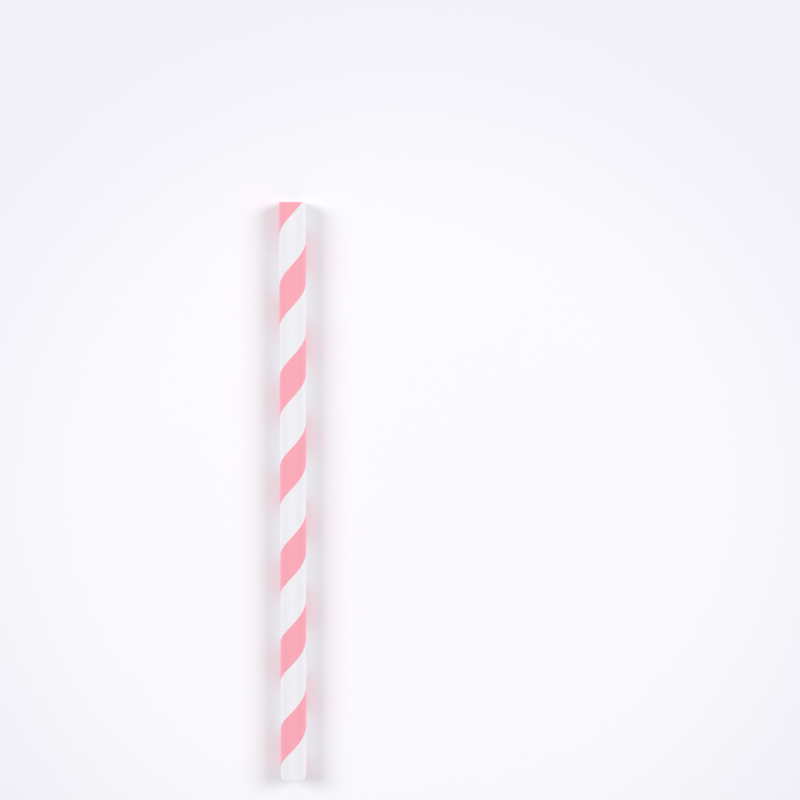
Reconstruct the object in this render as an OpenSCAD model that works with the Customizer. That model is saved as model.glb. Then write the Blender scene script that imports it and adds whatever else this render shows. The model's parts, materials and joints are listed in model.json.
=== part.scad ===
// Paper drinking straw, wound from paper tape and printed with one pink stripe that spirals up it.
// It lies on its side along Y, with its wall resting on Z = 0 and its middle over the origin.

/* [Paper tube] */
// Length from one cut end to the other
straw_length = 197; // [60:1:260]
// Diameter of the bore, which is that of the rod the paper is wound on
bore_d = 8; // [4:0.1:12]
// Thickness of the wound and glued paper wall
wall = 0.4; // [0.2:0.05:1]

/* [Stripe] */
// Length of straw in which the stripe goes round once
stripe_lead = 30.3; // [20:0.1:60]
// Width of the pink band, measured along the straw
stripe_width = 13.8; // [2:0.1:19]
// Distance from the -Y end at which the middle of the band crosses the straw's upper side
stripe_start = 18; // [0:0.1:60]

/* [Colours] */
// Colour of the bare paper
paper_colour = "#F1F0F4"; // [#F1F0F4:Bleached white, #C9A878:Brown kraft]
// Colour of the printed stripe
stripe_colour = "#FDA9B6"; // [#FDA9B6:Pink, #8FC3EE:Light blue, #A5DBAF:Mint, #F6D267:Yellow]

/* [Hidden] */

// Angles round the axis of the sides that face up and down once the straw lies down
upper_side = -90;
lower_side = 90;

// Facets round the tube, turned so that the straw lies on one of them, a third of the way across it
$fn = 48;
facet_turn = lower_side - 360 / $fn / 3;
outer_r = bore_d / 2 + wall;

// Distance by which a cutting shape passes the surface that it cuts
cut_margin = 0.1;
// Distance by which the printed solid reaches into the bare one, so that they join as one
colour_overlap = 0.01;

// The stripe is cut out of the wall by a spiral ribbon, made of short straight lengths
lengths_per_turn = 24;
turn_angle = 360 / lengths_per_turn;
turn_rise = stripe_lead / lengths_per_turn;
first_length = floor(-(stripe_start + stripe_width) / turn_rise);
last_length = ceil((straw_length - stripe_start + stripe_width) / turn_rise);
length_count = last_length - first_length;

// The ribbon reaches from halfway through the wall, which leaves the bore white, to just outside it
ribbon_inner_r = bore_d / 2 + wall / 2;
ribbon_outer_r = outer_r / cos(turn_angle / 2) + cut_margin;

// Faces between one cross-section of the ribbon, points 0 to 3, and the next, points 4 to 7
length_faces = [[0, 5, 4], [0, 1, 5], [1, 2, 6, 5], [2, 3, 6], [3, 7, 6], [0, 4, 7, 3]];

// The four corners of the ribbon at the foot of length i, made larger all round by grow
function ribbon_section(i, grow) =
    let (
        angle = upper_side + i * turn_angle,
        middle = stripe_start + i * turn_rise,
        inner = ribbon_inner_r - grow,
        half = stripe_width / 2 + grow
    )
    [
        for (corner = [[inner, -half], [ribbon_outer_r, -half], [ribbon_outer_r, half], [inner, half]])
            [corner[0] * cos(angle), corner[0] * sin(angle), middle + corner[1]]
    ];

// Spiral ribbon, right-handed about +Z, that holds the printed part of the wall
module stripe_ribbon(grow = 0) {
    polyhedron(
        points = [for (i = [first_length : last_length]) each ribbon_section(i, grow)],
        faces = [
            [3, 2, 1, 0],
            for (i = [0 : length_count - 1]) each [
                for (face = length_faces) [for (point = face) point + 4 * i]
            ],
            [for (point = [0, 1, 2, 3]) point + 4 * length_count]
        ]
    );
}

// Plain round wall of the straw, standing on its end
module tube_wall() {
    rotate(facet_turn)
        difference() {
            cylinder(h = straw_length, r = outer_r);
            translate([0, 0, -cut_margin])
                cylinder(h = straw_length + 2 * cut_margin, d = bore_d);
        }
}

// Lays an upright straw along Y, with its foot towards -Y
module lie_down() {
    translate([0, -straw_length / 2, outer_r])
        rotate([-90, 0, 0])
            children();
}

// The straw: one wall of paper, white where it is bare and pink where the band is printed
module straw_tube() {
    lie_down() {
        color(paper_colour) difference() {
            tube_wall();
            stripe_ribbon();
        }
        color(stripe_colour) intersection() {
            tube_wall();
            stripe_ribbon(grow = colour_overlap);
        }
    }
}

straw_tube();
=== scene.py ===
"""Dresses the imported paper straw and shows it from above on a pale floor.

The straw is wound from three plies of paper tape. The outer ply is printed with one pink band and laps
over its own edge, and it goes round the straw once in each lead. The mesh is made the same way: a ring of
three plies is drawn out to the straw's length, with its lap and joints running straight along it, and is
then twisted, so that they and the printed band follow one spiral.
"""

import json
import logging
import math
from collections.abc import Callable, Iterator
from contextlib import contextmanager
from dataclasses import dataclass, field
from enum import Enum

import bmesh
import bpy
import numpy as np
from mathutils import Euler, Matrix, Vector


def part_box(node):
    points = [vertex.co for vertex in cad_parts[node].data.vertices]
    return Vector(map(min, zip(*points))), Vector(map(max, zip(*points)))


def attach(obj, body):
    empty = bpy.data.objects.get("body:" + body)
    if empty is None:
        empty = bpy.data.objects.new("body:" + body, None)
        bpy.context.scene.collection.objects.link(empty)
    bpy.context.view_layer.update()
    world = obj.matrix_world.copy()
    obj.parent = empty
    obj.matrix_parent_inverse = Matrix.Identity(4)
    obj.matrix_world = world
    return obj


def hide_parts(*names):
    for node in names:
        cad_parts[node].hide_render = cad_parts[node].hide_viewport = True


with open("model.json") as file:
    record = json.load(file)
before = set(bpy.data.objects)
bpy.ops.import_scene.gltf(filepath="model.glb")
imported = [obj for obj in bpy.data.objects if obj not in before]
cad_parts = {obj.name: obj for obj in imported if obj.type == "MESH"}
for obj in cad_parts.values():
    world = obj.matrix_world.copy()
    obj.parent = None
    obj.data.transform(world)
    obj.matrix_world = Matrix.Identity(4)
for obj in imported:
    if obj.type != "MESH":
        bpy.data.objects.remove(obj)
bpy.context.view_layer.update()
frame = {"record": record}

MM = 0.001
FULL_TURN = 360
QUARTER_TURN = 90

STRAW_NODE = "straw_tube"
STRAW_BODY = "root"
BORE_MOUNT = "bore"

# The map of the unwound tape, which the materials read, and the flat one that textures are baked on
TAPE_MAP = "tape"
SHEET_MAP = "OFBake"

# The colour of the far part of the floor and of what is past it
BACKDROP = "#F1EFF8"
# How far the middle of the picture lies to the right of the straw
VIEW_RIGHT = 35.8 * MM

# The curve by which a written colour stands for light: straight up to its foot, and a power above it
LARGEST_BYTE = 255
SRGB_FOOT = 0.04045
SRGB_FOOT_SLOPE = 12.92
SRGB_OFFSET = 0.055
SRGB_POWER = 2.4

# The value that a noise pattern wavers about
NOISE_MIDDLE = 0.5

Triple = tuple[float, float, float]
Colour = tuple[float, float, float, float]
Output = bpy.types.NodeSocket
PlaceTest = Callable[[Vector], bool]

log = logging.getLogger("straw")


class Surface(Enum):
    """The three kinds of surface on the straw, in the order of its material slots."""

    OUTSIDE = 0
    BORE = 1
    CUT = 2


class Pick(Enum):
    """What an edit-mode selection is made of: vertices, edges or faces."""

    VERTICES = (True, False, False)
    EDGES = (False, True, False)
    FACES = (False, False, True)


def linear_channel(value: float) -> float:
    """Undoes the sRGB curve, which is straight near black and a power above that."""
    power = ((value + SRGB_OFFSET) / (1 + SRGB_OFFSET)) ** SRGB_POWER
    return value / SRGB_FOOT_SLOPE if value <= SRGB_FOOT else power


def linear(colour: str) -> Colour:
    """Turns a colour as written into the linear one that shaders use.

    Args:
        colour: A hash mark and six hexadecimal digits.

    Returns:
        Red, green, blue and alpha, from 0 to 1.
    """
    red, green, blue = (linear_channel(byte / LARGEST_BYTE) for byte in bytes.fromhex(colour[1:]))
    return red, green, blue, 1.0


def deselect_all() -> None:
    """Clears the object selection, which holds the CAD nodes after loading."""
    bpy.ops.object.select_all(action="DESELECT")


def make_active(piece: bpy.types.Object) -> None:
    """Selects one object alone and makes it the active one.

    Args:
        piece: The object that the next operators work on.
    """
    deselect_all()
    piece.select_set(True)
    bpy.context.view_layer.objects.active = piece


@contextmanager
def edit_mode(piece: bpy.types.Object, pick: Pick) -> Iterator[None]:
    """Keeps a piece in edit mode for as long as the block lasts.

    Args:
        piece: The piece to edit.
        pick: What the block selects.

    Yields:
        Nothing.
    """
    make_active(piece)
    bpy.ops.object.mode_set(mode="EDIT")
    bpy.context.tool_settings.mesh_select_mode = pick.value
    try:
        yield
    finally:
        bpy.ops.object.mode_set(mode="OBJECT")


def select_vertices(piece: bpy.types.Object, wanted: PlaceTest) -> None:
    """Selects the vertices of a piece in edit mode by their place.

    Args:
        piece: The piece, in edit mode.
        wanted: Says of a vertex's place whether it is selected.
    """
    mesh = bmesh.from_edit_mesh(piece.data)
    for vertex in mesh.verts:
        vertex.select_set(wanted(vertex.co))
    mesh.select_flush(True)
    bmesh.update_edit_mesh(piece.data)


def select_edges(piece: bpy.types.Object, wanted: Callable[[Vector, Vector], bool]) -> None:
    """Selects the edges of a piece in edit mode by the places of their two ends.

    Args:
        piece: The piece, in edit mode.
        wanted: Says of an edge's two ends whether it is selected.
    """
    bpy.ops.mesh.select_all(action="DESELECT")
    mesh = bmesh.from_edit_mesh(piece.data)
    for edge in mesh.edges:
        if wanted(edge.verts[0].co, edge.verts[1].co):
            edge.select_set(True)
    bmesh.update_edit_mesh(piece.data)


def apply_modifier(piece: bpy.types.Object, modifier: bpy.types.Modifier) -> None:
    """Applies a modifier to a piece's mesh.

    Args:
        piece: The piece that has the modifier.
        modifier: The modifier to apply.
    """
    make_active(piece)
    bpy.ops.object.modifier_apply(modifier=modifier.name)


def numbers(items: bpy.types.bpy_prop_collection, name: str, width: int) -> np.ndarray:
    """Reads one property of many mesh elements.

    Args:
        items: The elements.
        name: The property.
        width: How many numbers it holds.

    Returns:
        The numbers, one row for each element, or one number for each where width is 1.
    """
    found = np.empty(len(items) * width, np.float32)
    items.foreach_get(name, found)
    return found.reshape(-1, width) if width > 1 else found


def turns_of(places: np.ndarray) -> np.ndarray:
    """Finds the turns round z of places given in rows, in degrees from 0 to 360."""
    return np.degrees(np.arctan2(places[:, 1], places[:, 0])) % FULL_TURN


def seen_rays(tree: bpy.types.NodeTree) -> Output:
    """Tells the rays that show a surface from those by which it lights other things.

    Args:
        tree: The nodes of a material or a world.

    Returns:
        The output that is 1 for rays from the camera, straight, reflected or through glass, and 0 for others.
    """
    rays = tree.nodes.new("ShaderNodeLightPath")
    seen = rays.outputs["Is Camera Ray"]
    for way in ("Is Glossy Ray", "Is Transmission Ray"):
        either = tree.nodes.new("ShaderNodeMath")
        either.operation = "MAXIMUM"
        tree.links.new(seen, either.inputs[0])
        tree.links.new(rays.outputs[way], either.inputs[1])
        seen = either.outputs[0]
    return seen


class NodeSheet:
    """The node tree of one material, with a short method for each kind of node in use."""

    def __init__(self, name: str) -> None:
        """Starts a material with a Principled shader.

        Args:
            name: The material's name.
        """
        self.material = bpy.data.materials.new(name)
        self.material.use_nodes = True
        self.tree = self.material.node_tree
        self.shader = self.tree.nodes["Principled BSDF"]

    def node(self, kind: str, **settings: object) -> bpy.types.Node:
        """Adds a node.

        Args:
            kind: Blender's name for the kind of node.
            **settings: Properties to set on the node.

        Returns:
            The node.
        """
        made = self.tree.nodes.new(kind)
        for name, value in settings.items():
            setattr(made, name, value)
        return made

    def feed(self, socket: Output, value: object) -> None:
        """Links an output to a socket, or sets the socket to a plain value.

        Args:
            socket: The input socket.
            value: An output socket, or a value of the input's type.
        """
        if isinstance(value, Output):
            self.tree.links.new(value, socket)
        else:
            socket.default_value = value

    def math(self, operation: str, *values: object) -> Output:
        """Works out one number from others.

        Args:
            operation: Blender's name for the operation.
            *values: Outputs or numbers that it works on.

        Returns:
            The output that holds the result.
        """
        made = self.node("ShaderNodeMath", operation=operation)
        for socket, value in zip(made.inputs, values):
            self.feed(socket, value)
        return made.outputs[0]

    def ramp(
        self, value: Output, low: float, high: float, start: float = 0.0, end: float = 1.0
    ) -> Output:
        """Maps a number smoothly from one range to another and holds it at the ends.

        Args:
            value: The number's output.
            low: The value that gives start.
            high: The value that gives end.
            start: The result at low and below.
            end: The result at high and above.

        Returns:
            The output that holds the result.
        """
        made = self.node("ShaderNodeMapRange", interpolation_type="SMOOTHSTEP", clamp=True)
        for socket, number in zip(made.inputs, (value, low, high, start, end)):
            self.feed(socket, number)
        return made.outputs[0]

    def mapped(self, place: Output, scale: Triple, shift: Triple = (0.0, 0.0, 0.0)) -> Output:
        """Scales a place, by more one way where a pattern is longer the other way, and then shifts it.

        Args:
            place: The output that holds the place.
            scale: Scale along each axis.
            shift: Distance to shift it along each axis.

        Returns:
            The output that holds the new place.
        """
        made = self.node("ShaderNodeMapping")
        self.feed(made.inputs["Vector"], place)
        self.feed(made.inputs["Scale"], scale)
        self.feed(made.inputs["Location"], shift)
        return made.outputs[0]

    def distance(self, place: Output, counted: Triple, middle: Triple) -> Output:
        """Works out how far a place is from another one.

        Args:
            place: The output that holds the place.
            counted: 1 for each axis that counts towards the distance, and 0 for the others.
            middle: The other place, which is 0 along the axes that don't count.

        Returns:
            The output that holds the distance.
        """
        made = self.node("ShaderNodeVectorMath", operation="LENGTH")
        self.feed(made.inputs[0], self.mapped(place, counted, tuple(-x for x in middle)))
        return made.outputs["Value"]

    def noise(self, place: Output, detail: float, scale: float = 1.0) -> Output:
        """Adds a noise pattern.

        Args:
            place: The output that holds the place.
            detail: How many finer layers it has.
            scale: How many waves fit in one unit of the place.

        Returns:
            The output that holds the noise, from 0 to 1.
        """
        made = self.node("ShaderNodeTexNoise")
        self.feed(made.inputs["Vector"], place)
        self.feed(made.inputs["Scale"], scale)
        self.feed(made.inputs["Detail"], detail)
        return made.outputs[0]

    def blend(self, share: object, first: object, second: object) -> Output:
        """Mixes two colours.

        Args:
            share: Share of the second colour.
            first: The colour at share 0.
            second: The colour at share 1.

        Returns:
            The output that holds the mixed colour.
        """
        made = self.node("ShaderNodeMix", data_type="RGBA")
        self.feed(made.inputs["Factor"], share)
        colours = [socket for socket in made.inputs if socket.type == "RGBA"]
        self.feed(colours[0], first)
        self.feed(colours[1], second)
        return next(socket for socket in made.outputs if socket.type == "RGBA")

    def bump(self, height: Output, depth: float) -> None:
        """Gives the shader a bumped surface.

        Args:
            height: The output that holds the height, from 0 to 1.
            depth: How far, in metres, a height of 1 stands out.
        """
        made = self.node("ShaderNodeBump")
        self.feed(made.inputs["Distance"], depth)
        self.feed(made.inputs["Height"], height)
        self.feed(self.shader.inputs["Normal"], made.outputs[0])

    def finish(self, colour: object, roughness: object, specular: float) -> None:
        """Sets the shader's colour and its shine.

        Args:
            colour: The colour, or the output that holds it.
            roughness: The roughness, or the output that holds it.
            specular: How strongly it shines, where 0.5 is an ordinary surface.
        """
        self.feed(self.shader.inputs["Base Color"], colour)
        self.feed(self.shader.inputs["Roughness"], roughness)
        self.feed(self.shader.inputs["Specular IOR Level"], specular)

    def let_light_through(self, scale: float) -> None:
        """Lets light through the wall behind the surface, as thin white paper does.

        Args:
            scale: Blender's subsurface scale, in metres. Light spreads over about a tenth of it.
        """
        self.feed(self.shader.inputs["Subsurface Weight"], 1.0)
        self.feed(self.shader.inputs["Subsurface Radius"], (1.0, 1.0, 1.0))
        self.feed(self.shader.inputs["Subsurface Scale"], scale)

    def show_instead(self, share: Output, colour: Colour) -> None:
        """Shows a flat colour in place of the lit surface.

        Args:
            share: The output that holds how much of the flat colour shows.
            colour: The flat colour.
        """
        flat = self.node("ShaderNodeEmission")
        self.feed(flat.inputs["Color"], colour)
        choice = self.node("ShaderNodeMixShader")
        for socket, value in zip(choice.inputs, (share, self.shader.outputs[0], flat.outputs[0])):
            self.feed(socket, value)
        self.feed(self.tree.nodes["Material Output"].inputs["Surface"], choice.outputs[0])

    def object_place(self) -> Output:
        """Reads Object coordinates, in metres."""
        return self.node("ShaderNodeTexCoord").outputs["Object"]

    def tape_place(self) -> tuple[Output, Output]:
        """Reads the tape map, in millimetres.

        Returns:
            The output that holds the whole place, and the one that holds the distance across the tape from
            the middle of its printed band.
        """
        place = self.node("ShaderNodeUVMap", uv_map=TAPE_MAP).outputs[0]
        parts = self.node("ShaderNodeSeparateXYZ")
        self.feed(parts.inputs[0], place)
        return place, parts.outputs[0]


@dataclass(frozen=True)
class PaperGrain:
    """The grain of bleached paper, which is longer along the tape.

    Scales are in waves per millimetre, and the depth is in metres.
    """

    light: str = "#F2F1F5"
    dark: str = "#EFEEF3"
    dark_range: tuple[float, float] = (0.8, 1.3)
    cloud_scale: float = 0.45
    cloud_detail: float = 4.0
    fibre_scale: Triple = (7.0, 2.2, 1.0)
    fibre_detail: float = 3.0
    relief_detail: float = 5.0
    fibre_depth: float = 0.004 * MM
    roughness: float = 0.62
    specular: float = 0.35

    def colour(self, sheet: NodeSheet, place: Output) -> Output:
        """Paper seen against the light is cloudy, and a little of that shows on its face.

        Args:
            sheet: The material's nodes.
            place: The output that holds the place on the tape.

        Returns:
            The output that holds the paper's colour.
        """
        cloud = sheet.noise(place, self.cloud_detail, self.cloud_scale)
        fibre = sheet.noise(sheet.mapped(place, self.fibre_scale), self.fibre_detail)
        share = sheet.ramp(sheet.math("ADD", cloud, fibre), *self.dark_range)
        return sheet.blend(share, linear(self.light), linear(self.dark))

    def height(self, sheet: NodeSheet, place: Output) -> Output:
        """The fibres that lie along the tape.

        Args:
            sheet: The material's nodes.
            place: The output that holds the place on the tape.

        Returns:
            The output that holds their height, from 0 to 1.
        """
        return sheet.noise(sheet.mapped(place, self.fibre_scale), self.relief_detail)


@dataclass(frozen=True)
class PrintedBand:
    """The pink band on the outer ply. Lengths are in millimetres, as on the tape map."""

    width: float
    ink: str = "#FDACBA"
    ink_deep: str = "#FBA6B4"
    edge_wobble: float = 0.08
    wobble_scale: float = 1.3
    wobble_detail: float = 3.0
    edge_softness: float = 0.025
    mottle_scale: float = 3.5
    mottle_detail: float = 4.0
    mottle_range: tuple[float, float] = (0.35, 0.65)
    roughness: float = 0.52

    def cover(self, sheet: NodeSheet, place: Output, across: Output) -> Output:
        """Where the ink is: a band down the middle of the tape, with edges that wander a little.

        Args:
            sheet: The material's nodes.
            place: The output that holds the place on the tape.
            across: The output that holds the distance from the band's middle.

        Returns:
            The output that holds how much of the paper the ink covers, from 0 to 1.
        """
        wobble = sheet.noise(place, self.wobble_detail, self.wobble_scale)
        wander = sheet.math("SUBTRACT", wobble, NOISE_MIDDLE)
        shifted = sheet.math("MULTIPLY_ADD", wander, self.edge_wobble, across)
        off_edge = sheet.math("SUBTRACT", sheet.math("ABSOLUTE", shifted), self.width / 2)
        return sheet.ramp(off_edge, -self.edge_softness, self.edge_softness, 1.0, 0.0)

    def colour(self, sheet: NodeSheet, place: Output) -> Output:
        """Flat ink with the faint mottle of a print on uncoated paper.

        Args:
            sheet: The material's nodes.
            place: The output that holds the place on the tape.

        Returns:
            The output that holds the ink's colour.
        """
        mottle = sheet.noise(place, self.mottle_detail, self.mottle_scale)
        share = sheet.ramp(mottle, *self.mottle_range)
        return sheet.blend(share, linear(self.ink), linear(self.ink_deep))


@dataclass(frozen=True)
class PrintedPaper:
    """The finish of the straw's outside: bleached paper with the printed band."""

    band: PrintedBand
    grain: PaperGrain = PaperGrain()

    def material(self) -> bpy.types.Material:
        """Makes the material.

        Returns:
            The material, which reads the tape map.
        """
        sheet = NodeSheet("printed_paper")
        place, across = sheet.tape_place()
        cover = self.band.cover(sheet, place, across)
        colour = sheet.blend(cover, self.grain.colour(sheet, place), self.band.colour(sheet, place))
        roughness = sheet.ramp(cover, 0.0, 1.0, self.grain.roughness, self.band.roughness)
        sheet.finish(colour, roughness, self.grain.specular)
        sheet.bump(self.grain.height(sheet, place), self.grain.fibre_depth)
        return sheet.material


@dataclass(frozen=True)
class BorePaper:
    """The finish of the bore: the bare inner ply, lit a little by the light that comes through the wall."""

    grain: PaperGrain = PaperGrain(
        light="#EFEDEF", dark="#E7E4E7", fibre_depth=0.006 * MM, roughness=0.55, specular=0.4
    )
    light_scale: float = 0.8 * MM

    def material(self) -> bpy.types.Material:
        """Makes the material.

        Returns:
            The material, which reads the tape map.
        """
        sheet = NodeSheet("bore_paper")
        place, _ = sheet.tape_place()
        sheet.finish(self.grain.colour(sheet, place), self.grain.roughness, self.grain.specular)
        sheet.let_light_through(self.light_scale)
        sheet.bump(self.grain.height(sheet, place), self.grain.fibre_depth)
        return sheet.material


@dataclass(frozen=True)
class CutPaper:
    """The finish of the cut ends: torn fibres with painted shade in their pattern, and darker glue between
    the plies. Lengths are in metres.
    """

    axis_height: float
    ply_lines: tuple[float, ...]
    glue_width: float = 0.03 * MM
    glue_share: float = 0.8
    paper: str = "#F1EFF1"
    # Painted shade in the torn fibres' pattern
    fibre_shade: str = "#E2DEE0"
    glue: str = "#CDC6C4"
    # Range of fibre noise over which the painted fibre shade sets in
    fibre_shade_range: tuple[float, float] = (0.35, 0.7)
    fibre_scale: float = 6.0 / MM
    fibre_detail: float = 4.0
    fibre_depth: float = 0.01 * MM
    roughness: float = 0.85
    specular: float = 0.25

    def material(self) -> bpy.types.Material:
        """Makes the material.

        Returns:
            The material, which reads Object coordinates.
        """
        sheet = NodeSheet("cut_paper")
        place = sheet.object_place()
        radius = sheet.distance(place, (1.0, 0.0, 1.0), (0.0, 0.0, self.axis_height))
        fibre = sheet.noise(place, self.fibre_detail, self.fibre_scale)
        # Painted shade: the paper is darker where the fibre noise is high
        painted_fibre_shade = sheet.ramp(fibre, *self.fibre_shade_range)
        colour = sheet.blend(painted_fibre_shade, linear(self.paper), linear(self.fibre_shade))
        for line in self.ply_lines:
            off_line = sheet.math("ABSOLUTE", sheet.math("SUBTRACT", radius, line))
            on_line = sheet.ramp(off_line, 0.0, self.glue_width, self.glue_share, 0.0)
            colour = sheet.blend(on_line, colour, linear(self.glue))
        sheet.finish(colour, self.roughness, self.specular)
        sheet.bump(fibre, self.fibre_depth)
        return sheet.material


@dataclass
class WoundStraw:
    """The straw, one tube of paper tape wound in three plies.

    Lengths are in metres. While it is made, the straw stands upright on z = 0 and its turns are angles round
    z, in degrees, from the lap of the outer ply. The middle of the printed band is at band_turn, opposite
    the lap, and what is at top_turn before the straw is laid down is uppermost afterwards.
    """

    length: float
    outer_radius: float
    bore_radius: float

    # The tape goes round once in each lead, and its band starts at a height on the side that ends uppermost
    lead: float = 30.3 * MM
    band_length: float = 13.8 * MM
    band_start: float = 18.0 * MM
    band_turn: float = 180.0
    top_turn: float = 270.0
    plies: int = 3

    # The faces of the mesh: columns round the wall, and the parts into which its length is cut
    columns: int = 96
    strips: int = 3
    bands_in_strip: int = 11
    rings_in_band: int = 12
    smooth_angle: float = 35.0

    # The lap of the outer ply, its top and its slope. A step squeezes a column to step_share of its width
    lap_rise: float = 0.04 * MM
    lap_columns: int = 4
    lap_slope_columns: int = 3
    step_share: float = 1 / 12

    # The marks where the plies under the outer one meet, and the joint of the inner one in the bore
    winding_mark_turns: tuple[float, ...] = (120.0, 240.0)
    winding_mark_depth: float = 0.012 * MM
    bore_joint_turn: float = 60.0
    bore_joint_depth: float = 0.08 * MM

    # The cut ends, their glue lines and their rims. More than cut_slope of their normals is along the straw
    ply_gap: float = 0.018 * MM
    ply_gap_depth: float = 0.03 * MM
    rim_softness: float = 0.03 * MM
    rim_segments: int = 2
    rim_margin: float = 1.5
    cut_roughness: float = 0.05 * MM
    cut_fibre_size: float = 0.35 * MM
    cut_slope: float = 0.3

    # The sheet map, with the scale of the bore and of the cut ends beside that of the outside
    sheet_gap: float = 0.6 * MM
    bore_on_sheet: float = 0.4
    cut_on_sheet: float = 2.0

    piece: bpy.types.Object = field(init=False)

    def build(self) -> bpy.types.Object:
        """Builds the straw's mesh and lays it down.

        Returns:
            The finished piece, without materials.
        """
        self.draw_ring()
        self.draw_out()
        self.soften_rims()
        self.shape_outer_lap()
        self.shape_bore_joint()
        self.divide_length()
        self.sort_surfaces()
        self.lay_maps()
        self.open_plies()
        self.twist()
        self.roughen_cuts()
        self.lie_down()
        return self.piece

    @property
    def column_turn(self) -> float:
        """Turn from one column of faces to the next, in degrees."""
        return FULL_TURN / self.columns

    @property
    def body_radius(self) -> float:
        """Radius of the outside away from the lap, whose ridge is what the straw measures across."""
        return self.outer_radius - self.lap_rise

    @property
    def ply_lines(self) -> tuple[float, ...]:
        """Radii at which one ply is glued to the next."""
        wall = self.outer_radius - self.bore_radius
        return tuple(self.bore_radius + wall * i / self.plies for i in range(1, self.plies))

    @property
    def spiral_angle(self) -> float:
        """Angle between the tape and the straw's axis, in radians."""
        return math.atan(math.tau * self.outer_radius / self.lead)

    @property
    def band_across(self) -> float:
        """Width of the printed band, square to the tape's edge."""
        return self.band_length * math.sin(self.spiral_angle)

    @property
    def rim_reach(self) -> float:
        """Distance into the wall that takes in the whole of a rounded rim."""
        return self.rim_margin * self.rim_softness

    def is_outside(self, place: Vector) -> bool:
        """Says whether a place of the upright straw belongs to its outer surface or its outer rims."""
        return math.hypot(place.x, place.y) > self.body_radius - self.rim_reach

    def is_bore(self, place: Vector) -> bool:
        """Says whether a place of the upright straw belongs to its bore or its inner rims."""
        return math.hypot(place.x, place.y) < self.bore_radius + self.rim_reach

    def is_at(self, place: Vector, turn: float) -> bool:
        """Says whether a place of the upright straw lies on the column of vertices at a turn."""
        off = math.degrees(math.atan2(place.y, place.x)) - turn
        return abs(math.remainder(off, FULL_TURN)) < self.column_turn / 4

    def draw_ring(self) -> None:
        """Makes the foot of the straw as a flat ring, with three close circles where two plies meet."""
        deselect_all()
        bpy.ops.mesh.primitive_circle_add(vertices=self.columns, radius=self.bore_radius, calc_uvs=False)
        self.piece = bpy.context.active_object
        self.piece.name = "wound_straw"
        radii = [line + side * self.ply_gap for line in self.ply_lines for side in (-1, 0, 1)]
        with edit_mode(self.piece, Pick.EDGES):
            bpy.ops.mesh.select_all(action="SELECT")
            radius = self.bore_radius
            for wider in (*radii, self.body_radius):
                bpy.ops.mesh.extrude_region_move()
                self.widen(wider / radius)
                radius = wider

    def widen(self, factor: float) -> None:
        """Moves what is selected away from the straw's axis.

        Args:
            factor: New radius as a multiple of the old one.
        """
        bpy.ops.transform.resize(value=(factor, factor, 1.0), center_override=(0.0, 0.0, 0.0))

    def draw_out(self) -> None:
        """Draws the ring out to the straw's length, which gives it its walls and its second cut end."""
        with edit_mode(self.piece, Pick.FACES):
            bpy.ops.mesh.select_all(action="SELECT")
            bpy.ops.mesh.extrude_region_move(TRANSFORM_OT_translate={"value": (0.0, 0.0, self.length)})
            bpy.ops.mesh.select_all(action="SELECT")
            bpy.ops.mesh.normals_make_consistent(inside=False)

    def soften_rims(self) -> None:
        """Rounds the four rims, as the blade that cuts the straw leaves them."""
        with edit_mode(self.piece, Pick.EDGES):
            select_edges(self.piece, self.is_rim)
            bpy.ops.mesh.bevel(offset=self.rim_softness, segments=self.rim_segments, affect="EDGES")

    def is_rim(self, first: Vector, second: Vector) -> bool:
        """Says whether an edge of the upright, square-cut straw is part of a rim.

        Args:
            first: The edge's one end.
            second: The edge's other end.

        Returns:
            Whether it lies level, with both ends on the same side of the wall.
        """
        sides = (self.is_outside, self.is_bore)
        on_one_side = any(is_on(first) and is_on(second) for is_on in sides)
        return on_one_side and abs(first.z - second.z) < self.rim_softness

    def scale_column(self, on_side: PlaceTest, turn: float, factor: float) -> None:
        """Moves one column of vertices away from the axis or towards it.

        Args:
            on_side: Says whether a place is on the side of the wall to work on.
            turn: Turn at which the column lies.
            factor: New radius as a multiple of the old one.
        """
        select_vertices(self.piece, lambda place: on_side(place) and self.is_at(place, turn))
        self.widen(factor)

    def slide_column(self, on_side: PlaceTest, turn: float, to_turn: float, radius: float) -> None:
        """Moves one column of vertices sideways, which makes the next face a steep step.

        Args:
            on_side: Says whether a place is on the side of the wall to work on.
            turn: Turn at which the column lies.
            to_turn: Turn at which it will lie.
            radius: Distance of the column from the axis.
        """
        start, end = math.radians(turn), math.radians(to_turn)
        shift = Vector((math.cos(end) - math.cos(start), math.sin(end) - math.sin(start), 0.0)) * radius
        select_vertices(self.piece, lambda place: on_side(place) and self.is_at(place, turn))
        bpy.ops.transform.translate(value=shift)

    def shape_outer_lap(self) -> None:
        """Raises the outer ply where it laps over its own edge, and marks where the plies below it meet."""
        step = self.column_turn
        rise = self.outer_radius / self.body_radius - 1
        raised = self.lap_columns + self.lap_slope_columns
        with edit_mode(self.piece, Pick.VERTICES):
            for turn in self.winding_mark_turns:
                self.scale_column(self.is_outside, turn, 1 - self.winding_mark_depth / self.body_radius)
            for column in range(raised):
                share = min(1.0, (raised - column) / (self.lap_slope_columns + 1))
                self.scale_column(self.is_outside, column * step, 1 + rise * share)
            self.slide_column(self.is_outside, -step, -step * self.step_share, self.body_radius)

    def shape_bore_joint(self) -> None:
        """Opens the narrow joint between the edges of the inner ply."""
        step = self.column_turn
        first, last = self.bore_joint_turn, self.bore_joint_turn + step
        with edit_mode(self.piece, Pick.VERTICES):
            for turn in (first, last):
                self.scale_column(self.is_bore, turn, 1 + self.bore_joint_depth / self.bore_radius)
            self.slide_column(self.is_bore, first - step, first - step * self.step_share, self.bore_radius)
            self.slide_column(self.is_bore, last + step, last + step * self.step_share, self.bore_radius)

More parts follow.
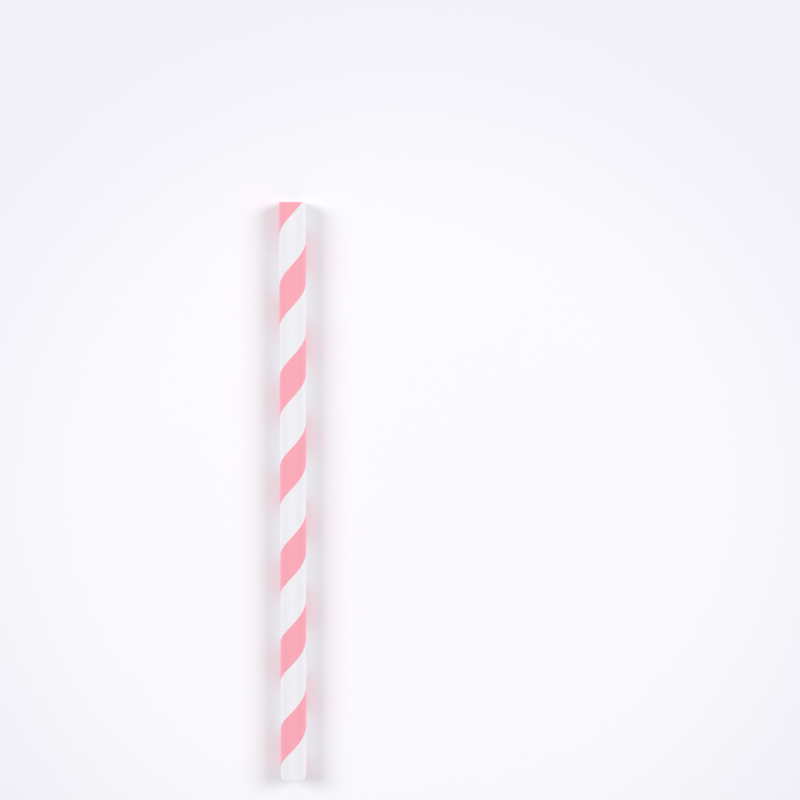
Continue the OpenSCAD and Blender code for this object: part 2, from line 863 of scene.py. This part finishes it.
    def divide_length(self) -> None:
        """Cuts the straight walls into strips, bands and then short rings, so that they can be twisted."""
        uncut = self.length
        for parts in (self.strips, self.bands_in_strip, self.rings_in_band):
            with edit_mode(self.piece, Pick.EDGES):
                select_edges(self.piece, lambda first, second: abs(first.z - second.z) > uncut / 2)
                bpy.ops.mesh.subdivide(number_cuts=parts - 1)
            uncut /= parts

    def sort_surfaces(self) -> None:
        """Gives each face the material slot of the surface that it belongs to."""
        for face in self.piece.data.polygons:
            if abs(face.normal.z) > self.cut_slope:
                surface = Surface.CUT
            elif math.hypot(face.center.x, face.center.y) > self.ply_lines[0]:
                surface = Surface.OUTSIDE
            else:
                surface = Surface.BORE
            face.material_index = surface.value

    def lay_maps(self) -> None:
        """Gives the upright, untwisted straw its two maps, which it keeps when it is twisted.

        The tape map holds places on the unwound tape, in millimetres: across it from the middle of its band,
        and along it. The sheet map lays the whole surface out flat and without overlaps in a unit square,
        with the walls cut in strips.
        """
        mesh = self.piece.data
        places = numbers(mesh.vertices, "co", 3)[numbers(mesh.loops, "vertex_index", 1).astype(int)]
        corners = numbers(mesh.polygons, "loop_total", 1).astype(int)
        centres = np.repeat(numbers(mesh.polygons, "center", 3), corners, axis=0)
        surfaces = np.repeat(numbers(mesh.polygons, "material_index", 1), corners)
        turns = turns_of(places)
        turns += FULL_TURN * np.round((turns_of(centres) - turns) / FULL_TURN)

        tape, sheet = np.zeros((len(places), 2)), np.zeros((len(places), 2))
        for surface, radius in ((Surface.OUTSIDE, self.outer_radius), (Surface.BORE, self.bore_radius)):
            on = surfaces == surface.value
            tape[on] = self.on_tape(turns[on], places[on, 2], radius)
            sheet[on] = self.on_sheet(turns[on], places[on, 2], centres[on, 2], surface)
        on = surfaces == Surface.CUT.value
        tape[on] = places[on, :2] / MM
        sheet[on] = self.cuts_on_sheet(places[on], centres[on, 2])
        for name, values in ((TAPE_MAP, tape), (SHEET_MAP, sheet)):
            layer = mesh.uv_layers.new(name=name)
            layer.uv.foreach_set("vector", values.astype(np.float32).ravel())

    def on_tape(self, turns: np.ndarray, heights: np.ndarray, radius: float) -> np.ndarray:
        """Finds places on the unwound tape.

        Args:
            turns: Turn of each place from the lap, before the straw is twisted.
            heights: Height of each place above the foot.
            radius: Radius of the surface that the places are on.

        Returns:
            For each place, its distance across the tape from the middle of the band, and along it.
        """
        slope = math.atan(math.tau * radius / self.lead)
        across = (self.band_turn - turns) / FULL_TURN
        round_axis = math.tau * radius * ((heights - self.band_start) / self.lead - across)
        along = round_axis * math.sin(slope) + heights * math.cos(slope)
        return np.column_stack((across * self.lead * math.sin(slope), along)) / MM

    @property
    def strip_length(self) -> float:
        """Length of the strips that the sheet map lays side by side."""
        return self.length / self.strips

    @property
    def sheet_size(self) -> float:
        """Finds how large a square the sheet map fills.

        Returns:
            Its side, which holds both walls above each other and the strips side by side.
        """
        walls = self.strip_length * (1 + self.bore_on_sheet) + 3 * self.sheet_gap
        strips = self.strips * (math.tau * self.outer_radius + self.sheet_gap) + self.sheet_gap
        return max(walls, strips)

    def on_sheet(
        self, turns: np.ndarray, heights: np.ndarray, face_heights: np.ndarray, surface: Surface
    ) -> np.ndarray:
        """Finds places on the sheet map for one of the walls.

        Args:
            turns: Turn of each place from the lap, before the straw is twisted.
            heights: Height of each place above the foot.
            face_heights: Height of the middle of the face that each place is a corner of.
            surface: The wall that the places are on.

        Returns:
            The places on the map, from 0 to 1.
        """
        outside = surface is Surface.OUTSIDE
        scale = 1.0 if outside else self.bore_on_sheet
        around = math.tau * (self.outer_radius if outside else self.bore_radius) * scale
        strip = np.floor(face_heights / self.strip_length).clip(0, self.strips - 1)
        foot = self.sheet_gap if outside else self.strip_length + 2 * self.sheet_gap
        left = self.sheet_gap + strip * (around + self.sheet_gap) + turns / FULL_TURN * around
        up = foot + (heights - strip * self.strip_length) * scale
        return np.column_stack((left, up)) / self.sheet_size

    def cuts_on_sheet(self, places: np.ndarray, face_heights: np.ndarray) -> np.ndarray:
        """Finds places on the sheet map for the two cut ends, which lie beside the bore's strips.

        Args:
            places: Places on the upright straw.
            face_heights: Height of the middle of the face that each place is a corner of.

        Returns:
            The places on the map, from 0 to 1.
        """
        disc = 2 * self.outer_radius * self.cut_on_sheet + self.sheet_gap
        bore_strip = math.tau * self.bore_radius * self.bore_on_sheet + self.sheet_gap
        bore_strips = self.strips * bore_strip
        far = face_heights > self.length / 2
        left = bore_strips + self.sheet_gap + disc * (0.5 + far) + places[:, 0] * self.cut_on_sheet
        up = self.strip_length + 2 * self.sheet_gap + disc / 2 + places[:, 1] * self.cut_on_sheet
        return np.column_stack((left, up)) / self.sheet_size

    def open_plies(self) -> None:
        """Draws the glue lines in from the cut ends, between the edges of the plies."""
        with edit_mode(self.piece, Pick.VERTICES):
            for height, depth in ((0.0, self.ply_gap_depth), (self.length, -self.ply_gap_depth)):
                select_vertices(self.piece, lambda place: self.is_glue_line(place, height))
                bpy.ops.transform.translate(value=(0.0, 0.0, depth))

    def is_glue_line(self, place: Vector, height: float) -> bool:
        """Says whether a place of the upright straw lies on a glue line of one of its cut ends.

        Args:
            place: The place.
            height: Height of the cut end above the foot.

        Returns:
            Whether it lies between two plies, at that height.
        """
        radius = math.hypot(place.x, place.y)
        between_plies = any(abs(radius - line) < self.ply_gap / 2 for line in self.ply_lines)
        return between_plies and abs(place.z - height) < self.ply_gap

    def twist(self) -> None:
        """Twists the straw by one turn in each lead, which winds its lap, joints and print into spirals."""
        modifier = self.piece.modifiers.new("winding", "SIMPLE_DEFORM")
        modifier.deform_method = "TWIST"
        modifier.deform_axis = "Z"
        modifier.angle = math.tau * self.length / self.lead
        apply_modifier(self.piece, modifier)

    def roughen_cuts(self) -> None:
        """Makes the cut ends uneven by the size of the paper's fibres."""
        cuts = [face for face in self.piece.data.polygons if face.material_index == Surface.CUT.value]
        group = self.piece.vertex_groups.new(name="cut_ends")
        group.add(sorted({vertex for face in cuts for vertex in face.vertices}), 1.0, "REPLACE")
        fibres = bpy.data.textures.new("cut_fibres", "CLOUDS")
        fibres.noise_scale = self.cut_fibre_size
        modifier = self.piece.modifiers.new("cut_fibres", "DISPLACE")
        modifier.texture = fibres
        modifier.vertex_group = group.name
        modifier.direction = "Z"
        modifier.strength = self.cut_roughness
        apply_modifier(self.piece, modifier)

    def lie_down(self) -> None:
        """Turns the straw until the band crosses its upper side in the right place, and lays it along Y."""
        band_turn = self.band_turn + FULL_TURN * self.band_start / self.lead
        self.piece.rotation_euler.z = math.radians(self.top_turn - band_turn)
        self.apply_place()
        self.piece.rotation_euler.x = math.radians(-QUARTER_TURN)
        self.piece.location = (0.0, -self.length / 2, self.outer_radius)
        self.apply_place()
        make_active(self.piece)
        bpy.ops.object.shade_smooth_by_angle(angle=math.radians(self.smooth_angle))

    def apply_place(self) -> None:
        """Moves the straw's place and turn from its object into its mesh."""
        make_active(self.piece)
        bpy.ops.object.transform_apply(location=True, rotation=True, scale=True)

    def dress(self) -> None:
        """Gives the straw its finishes, in the order of its surfaces."""
        finishes = {
            Surface.OUTSIDE: PrintedPaper(band=PrintedBand(width=self.band_across / MM)),
            Surface.BORE: BorePaper(),
            Surface.CUT: CutPaper(axis_height=self.outer_radius, ply_lines=self.ply_lines),
        }
        for surface in Surface:
            self.piece.data.materials.append(finishes[surface].material())


@dataclass(frozen=True)
class PaleFloor:
    """A plain pale floor with a painted pool of light, brightest round one place, which fades into the
    backdrop. Lengths are in metres.
    """

    # Middle of the painted pool of light, and of the fade into the backdrop
    middle: Triple = (VIEW_RIGHT, -12.0 * MM, 0.0)
    half_size: float = 2.0
    # Painted pool of light: the floor's colour is lighter round the middle and fades to the backdrop's colour
    # between the two radii
    painted_pool_centre: str = "#FBFAFE"
    painted_pool_rim: str = BACKDROP
    painted_pool_radius: float = 90 * MM
    painted_pool_rim_radius: float = 200 * MM
    fade_start: float = 240 * MM
    fade_end: float = 480 * MM
    roughness: float = 0.9
    specular: float = 0.1

    def build(self) -> bpy.types.Object:
        """Lays the floor on z = 0.

        Returns:
            The floor.
        """
        deselect_all()
        bpy.ops.mesh.primitive_plane_add(size=2 * self.half_size)
        floor = bpy.context.active_object
        floor.name = "floor"
        floor.data.materials.append(self.material())
        return floor

    def material(self) -> bpy.types.Material:
        """Makes the floor's material.

        Returns:
            The material, which reads Object coordinates.
        """
        sheet = NodeSheet("pale_floor")
        away = sheet.distance(sheet.object_place(), (1.0, 1.0, 1.0), self.middle)
        # Painted pool of light: lighter round the middle, fading out to the backdrop's colour
        painted_pool_share = sheet.ramp(away, self.painted_pool_radius, self.painted_pool_rim_radius)
        colour = sheet.blend(painted_pool_share, linear(self.painted_pool_centre), linear(self.painted_pool_rim))
        sheet.finish(colour, self.roughness, self.specular)
        faded = sheet.ramp(away, self.fade_start, self.fade_end)
        sheet.show_instead(sheet.math("MULTIPLY", faded, seen_rays(sheet.tree)), linear(BACKDROP))
        return sheet.material


@dataclass(frozen=True)
class SoftBox:
    """A square lamp that faces the middle of the straw. Lengths are in metres and angles in degrees."""

    name: str
    azimuth: float
    elevation: float
    power: float
    distance: float = 5.0
    width: float = 2.2

    def hang(self) -> bpy.types.Object:
        """Hangs the lamp.

        Returns:
            The lamp.
        """
        azimuth, elevation = math.radians(self.azimuth), math.radians(self.elevation)
        reach = math.cos(elevation)
        direction = Vector((math.cos(azimuth) * reach, math.sin(azimuth) * reach, math.sin(elevation)))
        facing = direction.to_track_quat("Z", "Y").to_euler()
        bpy.ops.object.light_add(type="AREA", location=direction * self.distance, rotation=facing)
        lamp = bpy.context.active_object
        lamp.name = self.name
        lamp.data.energy = self.power
        lamp.data.size = self.width
        return lamp


@dataclass(frozen=True)
class Daylight:
    """Even light from all round, and the pale backdrop that shows past the floor."""

    colour: str = "#FFFFFF"
    strength: float = 0.45

    def fill(self) -> None:
        """Sets the world's light, and the backdrop where it is seen straight, reflected or through glass."""
        world = bpy.data.worlds.new("daylight")
        world.use_nodes = True
        bpy.context.scene.world = world
        nodes, links = world.node_tree.nodes, world.node_tree.links
        light = nodes["Background"]
        light.inputs["Strength"].default_value = self.strength
        light.inputs["Color"].default_value = linear(self.colour)
        backdrop = nodes.new("ShaderNodeBackground")
        backdrop.inputs["Color"].default_value = linear(BACKDROP)
        choice = nodes.new("ShaderNodeMixShader")
        links.new(seen_rays(world.node_tree), choice.inputs["Fac"])
        links.new(light.outputs[0], choice.inputs[1])
        links.new(backdrop.outputs[0], choice.inputs[2])
        links.new(choice.outputs[0], nodes["World Output"].inputs["Surface"])


@dataclass(frozen=True)
class Viewpoint:
    """The camera, which looks down on the straw.

    Lengths are in metres, angles in degrees and the lens in millimetres. The tilt is how far the camera leans
    from straight above towards +Y, and the turn is how far it then goes round the vertical.
    """

    aim: Triple
    tilt: float = 7.5
    turn: float = 0.362
    distance: float = 0.55
    lens: float = 74.63
    sensor: float = 36.0

    def place(self) -> bpy.types.Object:
        """Places the camera above the aim.

        Returns:
            The camera.
        """
        facing = Euler((math.radians(-self.tilt), 0.0, math.radians(self.turn)))
        away = facing.to_matrix() @ Vector((0.0, 0.0, self.distance))
        bpy.ops.object.camera_add(location=Vector(self.aim) + away, rotation=facing)
        camera = bpy.context.active_object
        camera.data.lens = self.lens
        camera.data.sensor_width = self.sensor
        bpy.context.scene.camera = camera
        return camera


@dataclass(frozen=True)
class Studio:
    """The floor, the light and the camera round the straw. Lengths are in metres."""

    straw_height: float
    view_middle: tuple[float, float] = (VIEW_RIGHT, 33.5 * MM)
    lamps: tuple[SoftBox, ...] = (
        SoftBox("left_softbox", azimuth=155.0, elevation=36.0, power=121.0),
        SoftBox("right_softbox", azimuth=25.0, elevation=36.0, power=121.0),
    )

    def build(self) -> None:
        """Lays the floor, hangs the lamps and places the camera."""
        bpy.context.scene.view_settings.view_transform = "Standard"
        PaleFloor().build()
        for lamp in self.lamps:
            lamp.hang()
        Daylight().fill()
        Viewpoint(aim=(*self.view_middle, self.straw_height)).place()


def straw_from_frame() -> WoundStraw:
    """Takes the straw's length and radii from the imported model.

    Returns:
        The straw, not yet built.
    """
    low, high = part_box(STRAW_NODE)
    bore = next(mount for mount in frame["record"]["mounts"] if mount["name"] == BORE_MOUNT)
    return WoundStraw(
        length=high.y - low.y, outer_radius=(high.z - low.z) / 2, bore_radius=bore["dims"]["r_mm"] * MM
    )


def main() -> None:
    """Builds the straw and the studio, and writes how large the straw came out."""
    logging.basicConfig(level=logging.INFO, format="%(name)s: %(message)s")
    straw = straw_from_frame()
    piece = straw.build()
    straw.dress()
    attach(piece, STRAW_BODY)
    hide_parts(STRAW_NODE)
    log.info("%s: %d faces, %.1f mm long", piece.name, len(piece.data.polygons), straw.length / MM)
    Studio(straw_height=2 * straw.outer_radius).build()


if __name__ == "__main__":
    main()
